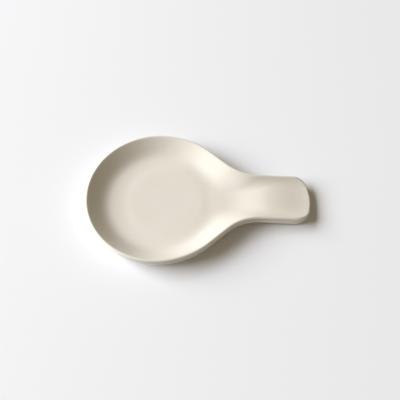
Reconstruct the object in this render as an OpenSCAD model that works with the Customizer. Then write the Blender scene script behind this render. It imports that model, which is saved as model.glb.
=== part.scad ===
// Spoon rest: one thick dish of fired and glazed stoneware. A round bowl runs through a short
// neck into a broad handle, and the dish stands on a turned ring under the bowl.
// Lengths are in millimetres. X runs along the dish with the handle at +X, Z is up from the
// table, and the origin is under the middle of the whole length.

/* [Outline] */
// Length of the whole dish, from the bowl's round end to the handle's end
length = 225; // [200:1:260]
// Radius of the bowl's round end, seen from above
bowl_r = 72; // [62:0.5:80]
// Radius of the fuller shoulder between the bowl's widest line and the flank
shoulder_r = 79; // [74:1:95]
// Angle between the straight flank of the neck and the dish's long axis
flank_angle = 41; // [37:0.5:44]
// Radius of the hollow curve where the flank turns into the handle's side
neck_r = 49; // [30:1:52]
// Width of the handle
handle_w = 50; // [43:0.5:56]
// Radius of the handle's two end corners
corner_r = 15; // [10:0.5:18]
// Radius of the handle's slightly bowed end
end_r = 50; // [46:1:150]

/* [Heights] */
// Height of the bowl's rim above the table
rim_h = 19.5; // [17.5:0.5:23]
// Height of the top edge at the handle's two corners
corner_h = 13.6; // [11.6:0.2:15]
// Height of the top edge in the middle of the handle's end, where the trough runs out
end_h = 8.6; // [8:0.2:10.6]
// How far the trough's floor stands up over the edge, in the middle of the handle's end
end_crown = 0.4; // [0:0.1:1.2]
// Height of the well's floor near the neck
floor_h = 7.2; // [6.2:0.2:8.6]
// Rise of the round middle of the well's floor above the rest of it
middle_rise = 0.4; // [0:0.1:1.2]
// Radius of the round middle of the well's floor
middle_r = 34; // [30:0.5:38]
// Width of the soft step round the middle of the floor
middle_step = 11; // [6:0.5:14]
// Distance from the bowl's centre to the centre of the floor and of the foot
floor_shift = 8; // [0:0.5:10]
// Height of the saddle, the highest place on the middle line of the handle
saddle_h = 12; // [11:0.2:13]
// Distance of the saddle from the place where the handle's sides start to run straight
saddle_back = 8.5; // [4:0.5:16]

/* [Lip and wall] */
// Width of the rounded lip
lip_w = 3.2; // [2.2:0.2:4.4]
// Height of the upright outer band under the lip
band_h = 11; // [9.6:0.2:12.4]
// How far the band leans in on its way down, apart from its groove
band_draft = 0.5; // [0:0.1:1]
// Depth of the groove that runs round the band, between the lip and the bead
groove_depth = 1.5; // [0:0.1:2.2]
// Width of the sloping inner wall of the bowl
wall_w = 15; // [12:0.5:20]
// Width over which the wall's foot is rounded into the floor, to each side of its corner
wall_round = 5; // [3:0.5:12]
// Width over which the wall's foot is rounded at the saddle and along the handle
trough_round = 21; // [8:0.5:24]

/* [Underside] */
// Outer radius of the foot ring
foot_r = 44; // [40:0.5:50]
// Width of the foot ring
foot_w = 4; // [2.5:0.25:6]
// Height of the foot ring under the bowl's base
foot_h = 1.8; // [1.3:0.1:2.4]
// Radius on the foot ring's edges
foot_edge_r = 0.8; // [0.4:0.1:1]
// Gap between the table and the underside of the handle
handle_lift = 0.9; // [0.6:0.1:1.5]
// Radius that softens the band's lower edge
arris_r = 0.8; // [0.4:0.1:1.6]

/* [Hidden] */

glaze_colour = [0.9, 0.875, 0.82];

// Fineness of the mesh: the longest step and the widest turn along the outline
step_len = 11;
step_turn = 7.5;
well_rings = 20;
lip_rings = 6;
arris_rings = 3;
under_rings = 5;
foot_edge_rings = 2;

// The band's section, as [share of the way down, share of the groove's depth]: the undercut
// below the lip, the groove, the bead that stands out under it, and the foot that turns in
band_shares = [
    [0.06, 0.5], [0.14, 0.9], [0.26, 1], [0.38, 1], [0.48, 0.7],
    [0.56, 0.25], [0.63, 0], [0.73, 0], [0.86, 0.2], [1, 0.7]
];

foot_in = band_draft + groove_depth * band_shares[len(band_shares) - 1].y;

// Shapes of the curves: where the spine lies, and how the handle and the underside bend
spine_share = 0.86;
fall_power = 1.6;
mouth_power = 3;
under_power = 1.8;

// Plan of half the outline, from the bowl's round end at -X to the handle's end at +X
half_w = handle_w / 2;
lip_r = lip_w / 2;
end_x = length - bowl_r;
shoulder_y = bowl_r - shoulder_r;
flank_start = [shoulder_r * sin(flank_angle), shoulder_y + shoulder_r * cos(flank_angle)];
flank_end_y = half_w + neck_r * (1 - cos(flank_angle));
flank_end_x = flank_start.x + (flank_start.y - flank_end_y) / tan(flank_angle);
flank_len = (flank_start.y - flank_end_y) / sin(flank_angle);
neck_x = flank_end_x + neck_r * sin(flank_angle);
end_centre_x = end_x - end_r;
corner_y = half_w - corner_r;
corner_x = end_centre_x + sqrt((end_r - corner_r) ^ 2 - corner_y ^ 2);
corner_angle = atan2(corner_y, corner_x - end_centre_x);
middle_x = end_x - length / 2;

function pitch(len, turn) = max(1, round(len / step_len + abs(turn) / step_turn));
function arc_len(r, turn) = PI * r * abs(turn) / 180;

// An arc gives [x, y, direction the edge faces] at equal turns, and leaves out its last point
function arc(centre, r, from, to, steps) = [
    for (i = [0 : steps - 1])
        let (a = from + (to - from) * i / steps)
        [centre.x + r * cos(a), centre.y + r * sin(a), a]
];
// A hollow arc curves the other way, so its edge faces its own centre
function hollow_arc(centre, r, from, to, steps) = [
    for (i = [0 : steps - 1])
        let (a = from + (to - from) * i / steps)
        [centre.x - r * cos(a), centre.y - r * sin(a), a]
];
function straight(a, b, facing, steps) = [
    for (i = [0 : steps - 1])
        let (p = a + (b - a) * i / steps)
        [p.x, p.y, facing]
];

half_outline = concat(
    arc([0, 0], bowl_r, 180, 90, pitch(arc_len(bowl_r, 90), 90)),
    arc([0, shoulder_y], shoulder_r, 90, 90 - flank_angle,
        pitch(arc_len(shoulder_r, flank_angle), flank_angle)),
    straight(flank_start, [flank_end_x, flank_end_y], 90 - flank_angle, pitch(flank_len, 0)),
    hollow_arc([neck_x, half_w + neck_r], neck_r, 90 - flank_angle, 90,
        pitch(arc_len(neck_r, flank_angle), flank_angle)),
    straight([neck_x, half_w], [corner_x, half_w], 90, pitch(corner_x - neck_x, 0)),
    arc([corner_x, corner_y], corner_r, 90, corner_angle,
        pitch(arc_len(corner_r, 90 - corner_angle), 90 - corner_angle)),
    arc([end_centre_x, 0], end_r, corner_angle, 0,
        pitch(arc_len(end_r, corner_angle), corner_angle)),
    [[end_x, 0, 0]]
);
half_count = len(half_outline) - 1;
// The whole outline goes round once: there along the +Y side and back along the -Y side
outline = concat(
    half_outline,
    [for (i = [half_count - 1 : -1 : 1]) let (p = half_outline[i]) [p.x, -p.y, -p.z]]
);
around = len(outline);

// Smooth step from 0 to 1 while x goes from a to b
function ease(x, a, b) =
    let (t = min(1, max(0, (x - a) / (b - a))))
    t * t * (3 - 2 * t);

// The larger of two heights, rounded over where they cross
function soft_max(a, b, round_r) =
    (a + b + sqrt((a - b) ^ 2 + round_r ^ 2)) / 2;

// Height of the top edge: level round the bowl, down along the flanks and the handle's sides,
// and lower still between the corners, in the trough's mouth
drop_start = (flank_start.x + flank_end_x) / 2;
drop_end = end_x + half_w;
function side_z(x) =
    rim_h - (rim_h - corner_h) * ease(x, drop_start, drop_end) / ease(end_x, drop_start, drop_end);
function edge_z(p) =
    side_z(p.x)
        - (p.x > corner_x ? (corner_h - end_h) * (1 - (abs(p.y) / half_w) ^ mouth_power) : 0);

// Height along the middle line: the floor, the saddle, then down the handle
saddle_x = neck_x + saddle_back;
end_middle_h = end_h + end_crown;
function middle_z(x) =
    x < saddle_x
        ? floor_h + (saddle_h - floor_h) * ease(x, flank_end_x, saddle_x)
        : saddle_h - (saddle_h - end_middle_h) * ((x - saddle_x) / (end_x - saddle_x)) ^ fall_power;

// Height of the underside: the base, the arch under the neck, and the handle just off the table
base_t = floor_h - foot_h;
function under_z(x) = soft_max(middle_z(x) - base_t, handle_lift, handle_lift);
// The band's foot comes down from the bowl to the table at the handle's end
function band_foot_z(x) =
    soft_max((rim_h - band_h) * (1 - ease(x, drop_start, end_x)), handle_lift, handle_lift);

// The wall's rounding, which widens from the bowl's value to the handle's along the neck
function wall_round_at(i) =
    wall_round + (trough_round - wall_round) * ease(outline[i].x, flank_start.x, saddle_x);

// The lip is a half round. It starts on the inside, where it is as steep as the wall.
function lip_start(i) =
    let (x = inward(i, lip_r).x)
    90 - atan((edge_z(outline[i]) - middle_z(x)) / wall_w);
function lip_in(i) = lip_r * (1 + cos(lip_start(i)));
function lip_drop(i) = lip_r * (1 - sin(lip_start(i)));

// A point a distance in from outline point i, seen from above
function inward(i, distance) =
    let (p = outline[i]) [p.x - distance * cos(p.z), p.y - distance * sin(p.z)];

// Rings close on a spine: one point under the bowl's middle, and a line along the handle
function spine_x(x) =
    let (q = max(0, x - floor_shift))
    floor_shift + spine_share * q * q / (q + bowl_r);

// The wall's share of its full climb, at a distance in from the lip: a straight slope, whose
// foot is rounded into the floor. Both fit in the reach between the lip and the spine.
function climb(distance, reach, round_w) =
    let (
        r = min(round_w, reach / 2),
        width = min(wall_w, reach - r),
        a = width - distance
    )
    (a <= -r ? 0 : a < r ? (a + r) ^ 2 / (4 * r) : a) / width;

// Top surface, with share 0 at the spine and 1 at the lip
function well_point(i, share) =
    let (
        q = inward(i, lip_in(i)),
        c = [spine_x(q.x), 0],
        p = c + share * (q - c),
        low = middle_z(p.x),
        off_middle = norm(p - [floor_shift, 0]),
        rise = middle_rise * (1 - ease(off_middle, middle_r, middle_r + middle_step)),
        edge = edge_z(outline[i]) - lip_drop(i)
    )
    [p.x, p.y, low + rise + (edge - low) * climb(norm(q - p), norm(q - c), wall_round_at(i))];

function lip_point(i, share) =
    let (
        turn = lip_start(i) + (180 - lip_start(i)) * share,
        p = inward(i, lip_r * (1 + cos(turn)))
    )
    [p.x, p.y, edge_z(outline[i]) - lip_r * (1 - sin(turn))];

// The band runs down by its shares, and a small round turns its foot under
function band_point(i, s) =
    let (
        p = inward(i, band_draft * s.x + groove_depth * s.y),
        top = edge_z(outline[i]) - lip_r,
        foot = band_foot_z(outline[i].x) + arris_r
    )
    [p.x, p.y, top + (foot - top) * s.x];
function arris_point(i, turn) =
    let (p = inward(i, foot_in + arris_r * (1 - cos(turn))))
    [p.x, p.y, band_foot_z(outline[i].x) + arris_r * (1 - sin(turn))];

// The foot is turned about the floor's middle. A point on it lies toward outline point i.
function foot_point(i, r, z) =
    let (
        q = inward(i, foot_in + arris_r) - [floor_shift, 0],
        p = [floor_shift, 0] + r * q / norm(q)
    )
    [p.x, p.y, z];

// Underside, with share 0 at the foot and 1 at the arris
function under_point(i, share) =
    let (
        q = inward(i, foot_in + arris_r),
        c = foot_point(i, foot_r, foot_h),
        p = [c.x, c.y] + share * (q - [c.x, c.y]),
        high = under_z(p.x),
        edge = band_foot_z(outline[i].x)
    )
    [p.x, p.y, high + (edge - high) * share ^ under_power];

// The foot's section as [radius, height]: down its outside, across the bottom and up inside
foot_inner_r = foot_r - foot_w;
foot_section = concat(
    [[foot_r, foot_h]],
    [for (k = [0 : foot_edge_rings])
        let (a = 90 * k / foot_edge_rings)
        [foot_r - foot_edge_r * (1 - cos(a)), foot_edge_r * (1 - sin(a))]],
    [for (k = [0 : foot_edge_rings])
        let (a = 90 * k / foot_edge_rings)
        [foot_inner_r + foot_edge_r * (1 - sin(a)), foot_edge_r * (1 - cos(a))]],
    [[foot_inner_r, foot_h]]
);

ring_ids = [0 : around - 1];
rings = concat(
    [for (k = [1 : well_rings]) [for (i = ring_ids) well_point(i, k / well_rings)]],
    [for (k = [1 : lip_rings]) [for (i = ring_ids) lip_point(i, k / lip_rings)]],
    [for (s = band_shares) [for (i = ring_ids) band_point(i, s)]],
    [for (k = [1 : arris_rings]) [for (i = ring_ids) arris_point(i, 90 * k / arris_rings)]],
    [for (k = [under_rings - 1 : -1 : 1]) [for (i = ring_ids) under_point(i, k / under_rings)]],
    [for (s = foot_section) [for (i = ring_ids) foot_point(i, s.x, s.y)]]
);
ring_count = len(rings);

// The top's two halves share the spine's points. Those of the round end fall in one point.
first_spine = max([for (i = [0 : half_count]) if (inward(i, lip_in(i)).x <= floor_shift) i]);
spine_ids = [for (i = [first_spine : half_count]) i];
function spine_of(i) = max(first_spine, min(i, around - i)) - first_spine;

ring_points = [for (ring = rings) for (p = ring) p];
spine_start = len(ring_points);
base_middle = spine_start + len(spine_ids);
points = concat(
    ring_points,
    [for (i = spine_ids) well_point(i, 0)],
    [[floor_shift, 0, foot_h]]
);

// Every face's points run clockwise, seen from outside
function quad(a, b, c, d) = [[a, b, c], [a, c, d]];
last_ring = (ring_count - 1) * around;
faces = concat(
    [for (i = ring_ids)
        let (n = (i + 1) % around, c = spine_start + spine_of(n), d = spine_start + spine_of(i))
        each c == d ? [[c, i, n]] : quad(d, i, n, c)],
    [for (k = [0 : ring_count - 2]) for (i = ring_ids)
        let (n = (i + 1) % around, low = k * around, high = low + around)
        each quad(low + i, high + i, high + n, low + n)],
    [for (i = ring_ids)
        let (n = (i + 1) % around)
        [last_ring + i, base_middle, last_ring + n]]
);

module stoneware_dish() {
    color(glaze_colour)
        translate([-middle_x, 0, 0])
            polyhedron(points, faces, convexity = 6);
}

stoneware_dish();
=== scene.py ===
"""Spoon rest of glazed stoneware: the dish's satin glaze and bare foot, on a plain pale table."""
import math

import bmesh
import bpy
from bpy.props import FloatProperty, FloatVectorProperty, IntProperty, PointerProperty
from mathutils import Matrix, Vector


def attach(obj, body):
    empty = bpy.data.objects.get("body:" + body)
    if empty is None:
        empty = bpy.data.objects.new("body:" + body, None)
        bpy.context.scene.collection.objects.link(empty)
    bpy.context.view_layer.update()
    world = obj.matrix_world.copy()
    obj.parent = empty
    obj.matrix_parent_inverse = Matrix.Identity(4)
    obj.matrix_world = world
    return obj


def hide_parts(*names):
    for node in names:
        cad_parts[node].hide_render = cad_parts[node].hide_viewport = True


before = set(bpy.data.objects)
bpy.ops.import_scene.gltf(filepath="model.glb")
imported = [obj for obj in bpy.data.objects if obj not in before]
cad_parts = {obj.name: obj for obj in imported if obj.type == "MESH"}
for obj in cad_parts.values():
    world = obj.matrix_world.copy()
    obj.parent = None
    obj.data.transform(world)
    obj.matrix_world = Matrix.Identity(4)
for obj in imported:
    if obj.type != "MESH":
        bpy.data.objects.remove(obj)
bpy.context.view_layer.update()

bl_info = {
    "name": "Stoneware Spoon Rest",
    "version": (1, 0, 0),
    "blender": (4, 5, 0),
    "location": "3D View > Sidebar > Spoon Rest",
    "description": "Dresses the spoon rest's fired body in satin glaze and lights it on a pale table",
    "category": "Object",
}

DISH_NODE = "stoneware_dish"
MM = 0.001
# The table reaches this far to each side, in metres: far from the dish, but not behind the lamp
TABLE_REACH = 5.5
# The foot ring lies wholly on the bowl's side of this x
FOOT_END = 20 * MM
# Focal length in millimetres, and the place on the table that the camera looks at
LENS = 56.4
AIM = (1.5, 5.0, 0)
# The surface's patterns, each the size of one of its cells in millimetres
CLOUD_SIZE = 26
WAVE_SIZE = 14
SKIN_SIZE = 1.6
SPECK_SPACING = 7
CLAY_GRAIN = 0.5
TABLE_TONE_SIZE = 300
# How far the waves, the fine skin and the clay's grain rise
WAVE_HEIGHT = 0.06 * MM
SKIN_HEIGHT = 0.01 * MM
GRAIN_HEIGHT = 0.08 * MM
# How many of the cells have a speck, how strong it is, and where it starts and ends in its cell
SPECK_SHARE = 0.1
SPECK_STRENGTH = 0.35
SPECK_CORE = 0.02
SPECK_EDGE = 0.06
# The groove's sides are looked for this far away. The painted shade in the groove is at its darkest
# where the lower of the two shares of the view is open, and gone where the upper one is open
GROOVE_REACH = 3 * MM
GROOVE_OPEN = 0.5
FACE_OPEN = 0.95
# How much the roughness goes up and down with the clouds
ROUGHNESS_SPREAD = 0.05
# How much darker the clay's grains and the table's faint clouds are than their colours
GRAIN_SHADE = 0.78
TABLE_SHADE = 0.985
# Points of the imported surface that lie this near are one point
WELD_REACH = 0.001 * MM
# Two triangles become one face up to this bend between them and this skew of the face
FACE_BEND = math.radians(40)
FACE_SKEW = math.radians(60)
# The pale room, as a mirror or the camera sees it past the table
ROOM_COLOUR = "F2F2F1"
LAMP_COLOUR = "F8FBFF"


def linear(hex_code):
    """The linear colour of an sRGB hex value such as E6E1D9."""
    channels = [int(hex_code[i:i + 2], 16) / 255 for i in (0, 2, 4)]
    return tuple(c / 12.92 if c <= 0.04045 else ((c + 0.055) / 1.055) ** 2.4 for c in channels)


def per_metre(size_mm):
    """The scale at which a pattern's cells have a real size in millimetres."""
    return 1000 / size_mm


class DishLook(bpy.types.PropertyGroup):
    """What a user would change about the dish's surface"""

    glaze_colour: FloatVectorProperty(
        name="Glaze", description="Colour of the glaze where it lies at its usual thickness",
        subtype="COLOR", size=3, min=0, max=1, default=linear("E6E1D9"))
    thick_colour: FloatVectorProperty(
        name="Thick glaze", description="Colour of the glaze where it has run together",
        subtype="COLOR", size=3, min=0, max=1, default=linear("E0DACF"))
    # Painted shade: the dark colour given to the groove under the lip, standing for the shade there
    groove_shade_colour: FloatVectorProperty(
        name="Painted groove shade", description="Colour of the glaze that has pooled in the groove",
        subtype="COLOR", size=3, min=0, max=1, default=linear("5E523F"))
    speck_colour: FloatVectorProperty(
        name="Specks", description="Colour of the few iron specks that show through the glaze",
        subtype="COLOR", size=3, min=0, max=1, default=linear("B49F82"))
    clay_colour: FloatVectorProperty(
        name="Clay", description="Colour of the bare clay on the foot ring",
        subtype="COLOR", size=3, min=0, max=1, default=linear("C8B496"))
    roughness: FloatProperty(
        name="Roughness", description="Roughness of the satin glaze",
        subtype="FACTOR", min=0, max=1, default=0.6)
    glaze_line: FloatProperty(
        name="Glaze line", description="Height over the table at which the glaze ends on the foot",
        unit="LENGTH", min=0, max=0.003, precision=4, default=0.0012)
    smoothing: IntProperty(
        name="Smoothing", description="How often the surface is divided for a rounder form",
        min=0, max=2, default=1)


class StageLook(bpy.types.PropertyGroup):
    """What a user would change about the table, the light and the camera"""

    table_colour: FloatVectorProperty(
        name="Table", description="Colour of the plain table",
        subtype="COLOR", size=3, min=0, max=1, default=linear("F5F6FB"))
    lamp_power: FloatProperty(
        name="Lamp", description="Power of the wide soft lamp at the bowl's end",
        unit="POWER", min=0, default=890)
    lamp_distance: FloatProperty(
        name="Lamp's distance", description="Distance of the lamp from the dish",
        unit="LENGTH", min=1, default=7)
    lamp_width: FloatProperty(
        name="Lamp's width", description="Width of the lamp, which softens the shadows' ends",
        unit="LENGTH", min=0.1, default=5.8)
    lamp_tall: FloatProperty(
        name="Lamp's upright side", description="Upright side of the lamp",
        unit="LENGTH", min=0.1, default=4.2)
    lamp_turn: FloatProperty(
        name="Lamp's turn", description="Direction of the lamp, turned from the handle's end",
        subtype="ANGLE", default=math.radians(172))
    lamp_height: FloatProperty(
        name="Lamp's height", description="Angle of the lamp over the table",
        subtype="ANGLE", default=math.radians(31))
    fill_colour: FloatVectorProperty(
        name="Fill's colour", description="Colour of the dim warm light from all round",
        subtype="COLOR", size=3, min=0, max=1, default=linear("FFE8B8"))
    fill_strength: FloatProperty(
        name="Fill", description="Strength of the dim warm light from all round",
        min=0, default=0.19)
    camera_height: FloatProperty(
        name="Camera's height", description="Angle of the camera over the table",
        subtype="ANGLE", default=math.radians(60.9))
    camera_distance: FloatProperty(
        name="Camera's distance", description="Distance of the camera from the place it looks at",
        unit="LENGTH", default=0.64)


def add_node(tree, kind, feeds=None, **settings):
    """Adds a node with its settings. Each feed is a value for an input, or a socket linked to it."""
    node = tree.nodes.new(kind)
    for name, value in settings.items():
        setattr(node, name, value)
    for name, value in (feeds or {}).items():
        if isinstance(value, bpy.types.NodeSocket):
            tree.links.new(value, node.inputs[name])
        else:
            node.inputs[name].default_value = value
    return node


def new_material(name):
    """An empty material, with the tree, the shader and the surface's own coordinates."""
    material = bpy.data.materials.new(name)
    material.use_nodes = True
    tree = material.node_tree
    shader = tree.nodes["Principled BSDF"]
    place = add_node(tree, "ShaderNodeTexCoord").outputs["Object"]
    return material, tree, shader, place


def satin_glaze(look):
    """Satin-matt stoneware glaze, sprayed and fired. It gives the eye an even ivory skin, with a
    soft broad sheen, faint clouds where the glaze has run together, and a few iron specks."""
    material, tree, shader, place = new_material("satin_stoneware_glaze")
    cloud = add_node(
        tree, "ShaderNodeTexNoise",
        {"Vector": place, "Scale": per_metre(CLOUD_SIZE), "Detail": 3.0, "Roughness": 0.5})
    colour = add_node(
        tree, "ShaderNodeMix",
        {"Factor": cloud.outputs["Fac"], "A": (*look.glaze_colour, 1), "B": (*look.thick_colour, 1)},
        data_type="RGBA")
    # A speck sits in the middle of a few of the cells
    cells = add_node(
        tree, "ShaderNodeTexVoronoi", {"Vector": place, "Scale": per_metre(SPECK_SPACING)})
    chosen = add_node(
        tree, "ShaderNodeSeparateColor", {"Color": cells.outputs["Color"]})
    few = add_node(
        tree, "ShaderNodeMath", {0: chosen.outputs["Red"], 1: 1 - SPECK_SHARE},
        operation="GREATER_THAN")
    dot = add_node(
        tree, "ShaderNodeMapRange",
        {"Value": cells.outputs["Distance"], "From Min": SPECK_CORE, "From Max": SPECK_EDGE,
         "To Min": SPECK_STRENGTH, "To Max": 0.0})
    speck = add_node(
        tree, "ShaderNodeMath", {0: few.outputs[0], 1: dot.outputs[0]}, operation="MULTIPLY")
    specked = add_node(
        tree, "ShaderNodeMix",
        {"Factor": speck.outputs[0], "A": colour.outputs["Result"], "B": (*look.speck_colour, 1)},
        data_type="RGBA")

    # Painted shade: where its sides close round it, the groove under the lip is darkened towards a dark
    # brown, standing for the shade under the lip
    openness = add_node(
        tree, "ShaderNodeAmbientOcclusion", {"Distance": GROOVE_REACH}, samples=8,
        only_local=True)
    painted_groove_shade = add_node(
        tree, "ShaderNodeMapRange",
        {"Value": openness.outputs["AO"], "From Min": GROOVE_OPEN, "From Max": FACE_OPEN,
         "To Min": 1.0, "To Max": 0.0})
    finished = add_node(
        tree, "ShaderNodeMix",
        {"Factor": painted_groove_shade.outputs[0], "A": specked.outputs["Result"], "B": (*look.groove_shade_colour, 1)},
        data_type="RGBA")
    tree.links.new(finished.outputs["Result"], shader.inputs["Base Color"])

    # Where the glaze is thicker it is a little smoother
    sheen = add_node(
        tree, "ShaderNodeMapRange",
        {"Value": cloud.outputs["Fac"], "To Min": look.roughness + ROUGHNESS_SPREAD,
         "To Max": look.roughness - ROUGHNESS_SPREAD})
    tree.links.new(sheen.outputs[0], shader.inputs["Roughness"])

    # The glaze lies in long, low waves, under a fine skin like an orange's
    waves = add_node(
        tree, "ShaderNodeTexNoise", {"Vector": place, "Scale": per_metre(WAVE_SIZE), "Detail": 1.0})
    skin = add_node(
        tree, "ShaderNodeTexNoise", {"Vector": place, "Scale": per_metre(SKIN_SIZE), "Detail": 2.0})
    wave_bump = add_node(
        tree, "ShaderNodeBump", {"Height": waves.outputs["Fac"], "Distance": WAVE_HEIGHT})
    skin_bump = add_node(
        tree, "ShaderNodeBump",
        {"Height": skin.outputs["Fac"], "Distance": SKIN_HEIGHT, "Normal": wave_bump.outputs[0]})
    tree.links.new(skin_bump.outputs[0], shader.inputs["Normal"])
    shader.inputs["IOR"].default_value = 1.5
    shader.inputs["Specular IOR Level"].default_value = 0.4
    return material


def bare_clay(look):
    """Fired buff stoneware, wiped clean of glaze. It gives the eye a dry, matt, sandy ring."""
    material, tree, shader, place = new_material("bare_buff_stoneware")
    grain = add_node(
        tree, "ShaderNodeTexNoise", {"Vector": place, "Scale": per_metre(CLAY_GRAIN), "Detail": 4.0})
    darker = Vector(look.clay_colour) * GRAIN_SHADE
    colour = add_node(
        tree, "ShaderNodeMix",
        {"Factor": grain.outputs["Fac"], "A": (*look.clay_colour, 1), "B": (*darker, 1)},
        data_type="RGBA")
    tree.links.new(colour.outputs["Result"], shader.inputs["Base Color"])
    bump = add_node(
        tree, "ShaderNodeBump", {"Height": grain.outputs["Fac"], "Distance": GRAIN_HEIGHT})
    tree.links.new(bump.outputs[0], shader.inputs["Normal"])
    shader.inputs["Roughness"].default_value = 0.9
    return material


def plain_table(look):
    """Smooth white laminate with a matt coat. It gives the eye nothing but the dish's shadow."""
    material, tree, shader, place = new_material("matt_white_table")
    tone = add_node(
        tree, "ShaderNodeTexNoise", {"Vector": place, "Scale": per_metre(TABLE_TONE_SIZE), "Detail": 1.0})
    colour = add_node(
        tree, "ShaderNodeMix",
        {"Factor": tone.outputs["Fac"], "A": (*look.table_colour, 1),
         "B": (*(Vector(look.table_colour) * TABLE_SHADE), 1)},
        data_type="RGBA")
    tree.links.new(colour.outputs["Result"], shader.inputs["Base Color"])
    shader.inputs["Roughness"].default_value = 0.7
    shader.inputs["Specular IOR Level"].default_value = 0.2
    return material


def finished_object(name, bm, materials):
    """Turns a bmesh into an object at the origin, smoothly shaded."""
    mesh = bpy.data.meshes.new(name)
    for face in bm.faces:
        face.smooth = True
    bm.to_mesh(mesh)
    bm.free()
    for material in materials:
        mesh.materials.append(material)
    piece = bpy.data.objects.new(name, mesh)
    bpy.context.scene.collection.objects.link(piece)
    return piece


class SPOONREST_OT_dish(bpy.types.Operator):
    """Make the dish's glazed body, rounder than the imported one, with a bare foot"""

    bl_idname = "spoon_rest.dish"
    bl_label = "Glazed Dish"
    bl_options = {"REGISTER", "UNDO"}

    def execute(self, context):
        look = context.scene.spoon_rest_dish
        bm = bmesh.new()
        bm.from_mesh(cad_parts[DISH_NODE].data)
        bmesh.ops.remove_doubles(bm, verts=bm.verts, dist=WELD_REACH)
        if any(not edge.is_manifold for edge in bm.edges):
            raise RuntimeError("the dish's surface isn't closed")
        bmesh.ops.join_triangles(
            bm, faces=bm.faces, angle_face_threshold=FACE_BEND, angle_shape_threshold=FACE_SKEW)

        # The glaze is wiped off the foot ring under the bowl, but not off the handle's low end
        for face in bm.faces:
            low = max(v.co.z for v in face.verts) < look.glaze_line
            if low and max(v.co.x for v in face.verts) < FOOT_END:
                face.material_index = 1

        dish = finished_object("glazed_dish", bm, [satin_glaze(look), bare_clay(look)])
        if look.smoothing:
            rounder = dish.modifiers.new("rounder", "SUBSURF")
            rounder.levels = look.smoothing
            rounder.render_levels = look.smoothing
        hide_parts(DISH_NODE)
        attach(dish, "root")
        return {"FINISHED"}


def wide_lamp(look):
    """One wide soft lamp, like a tall window at the bowl's end of the table."""
    data = bpy.data.lights.new("window_lamp", "AREA")
    data.shape = "RECTANGLE"
    data.size = look.lamp_width
    data.size_y = look.lamp_tall
    data.energy = look.lamp_power
    data.color = linear(LAMP_COLOUR)
    lamp = bpy.data.objects.new("window_lamp", data)
    bpy.context.scene.collection.objects.link(lamp)
    towards = Vector((
        math.cos(look.lamp_turn) * math.cos(look.lamp_height),
        math.sin(look.lamp_turn) * math.cos(look.lamp_height),
        math.sin(look.lamp_height)))
    lamp.location = towards * look.lamp_distance
    lamp.rotation_euler = towards.to_track_quat("Z", "Y").to_euler()


def dim_room(look):
    """The room is dim and warm where it lights the dish, and pale where it is seen."""
    world = bpy.data.worlds.new("room")
    bpy.context.scene.world = world
    world.use_nodes = True
    tree = world.node_tree
    fill = tree.nodes["Background"]
    fill.inputs["Color"].default_value = (*look.fill_colour, 1)
    fill.inputs["Strength"].default_value = look.fill_strength
    seen = add_node(
        tree, "ShaderNodeBackground", {"Color": (*linear(ROOM_COLOUR), 1), "Strength": 1.0})
    ray = add_node(tree, "ShaderNodeLightPath")
    mirrored = add_node(
        tree, "ShaderNodeMath",
        {0: ray.outputs["Is Glossy Ray"], 1: ray.outputs["Is Transmission Ray"]}, operation="ADD")
    visible = add_node(
        tree, "ShaderNodeMath", {0: ray.outputs["Is Camera Ray"], 1: mirrored.outputs[0]},
        operation="ADD", use_clamp=True)
    mix = add_node(
        tree, "ShaderNodeMixShader",
        {0: visible.outputs[0], 1: fill.outputs[0], 2: seen.outputs[0]})
    tree.links.new(mix.outputs[0], tree.nodes["World Output"].inputs["Surface"])


class SPOONREST_OT_stage(bpy.types.Operator):
    """Lay the plain table, hang the lamp and set the camera at the usual angle"""

    bl_idname = "spoon_rest.stage"
    bl_label = "Table, Light and Camera"
    bl_options = {"REGISTER", "UNDO"}

    def execute(self, context):
        scene = context.scene
        look = scene.spoon_rest_stage
        bm = bmesh.new()
        bmesh.ops.create_grid(bm, x_segments=1, y_segments=1, size=TABLE_REACH)
        finished_object("table", bm, [plain_table(look)])
        wide_lamp(look)
        dim_room(look)

        data = bpy.data.cameras.new("camera")
        data.sensor_width = 36
        data.lens = LENS
        camera = bpy.data.objects.new("camera", data)
        scene.collection.objects.link(camera)
        aim = Vector(AIM) * MM
        back = Vector((0, -math.cos(look.camera_height), math.sin(look.camera_height)))
        camera.location = aim + back * look.camera_distance
        camera.rotation_euler = back.to_track_quat("Z", "Y").to_euler()
        scene.camera = camera
        scene.view_settings.view_transform = "Standard"
        return {"FINISHED"}


class SPOONREST_PT_panel(bpy.types.Panel):
    """Lists the steps that make the spoon rest, with their sizes and colours"""

    bl_idname = "SPOONREST_PT_panel"
    bl_label = "Spoon Rest"
    bl_space_type = "VIEW_3D"
    bl_region_type = "UI"
    bl_category = "Spoon Rest"

    def draw(self, context):
        for operator, look in (
            (SPOONREST_OT_dish, context.scene.spoon_rest_dish),
            (SPOONREST_OT_stage, context.scene.spoon_rest_stage),
        ):
            box = self.layout.box()
            box.operator(operator.bl_idname)
            for name in look.__annotations__:
                box.prop(look, name)


CLASSES = (DishLook, StageLook, SPOONREST_OT_dish, SPOONREST_OT_stage, SPOONREST_PT_panel)


def register():
    for cls in CLASSES:
        bpy.utils.register_class(cls)
    bpy.types.Scene.spoon_rest_dish = PointerProperty(type=DishLook)
    bpy.types.Scene.spoon_rest_stage = PointerProperty(type=StageLook)


def unregister():
    del bpy.types.Scene.spoon_rest_stage
    del bpy.types.Scene.spoon_rest_dish
    for cls in reversed(CLASSES):
        bpy.utils.unregister_class(cls)


def main():
    register()
    bpy.ops.spoon_rest.stage()
    bpy.ops.spoon_rest.dish()
    bpy.context.view_layer.update()


if __name__ == "__main__":
    main()
